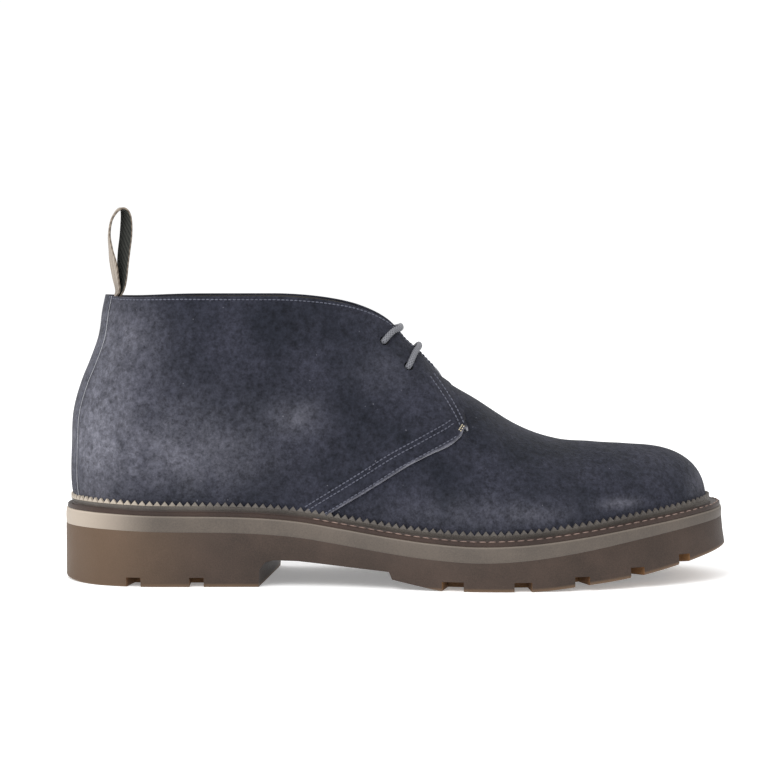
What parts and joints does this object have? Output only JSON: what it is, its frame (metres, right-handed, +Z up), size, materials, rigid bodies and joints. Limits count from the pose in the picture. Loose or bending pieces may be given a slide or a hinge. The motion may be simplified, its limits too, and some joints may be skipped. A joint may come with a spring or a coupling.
{
  "type": "chukka boot",
  "caption": "Ankle-high suede lace-up boot with a storm welt, a pale midsole band, a lug outsole and a heel pull loop.",
  "frame": {"origin": "centre of the box on the floor", "axes": "+X from the heel to the toe, +Z up, -Y the outer side of the foot"},
  "size_m": [0.3102, 0.1132, 0.1734],
  "materials": {
    "outsole_rubber": "matt",
    "midsole_rubber": "matt",
    "welt_leather": "matt",
    "insole_leather": "satin",
    "suede": "napped",
    "webbing": "woven",
    "lace_cord": "braided"
  },
  "bodies": {
    "root": {"outsole": "outsole_rubber", "midsole": "midsole_rubber", "welt": "welt_leather", "insole": "insole_leather", "upper": "suede", "tongue": "suede", "pull_loop": "webbing", "lace": "lace_cord"}
  },
  "joints": []
}
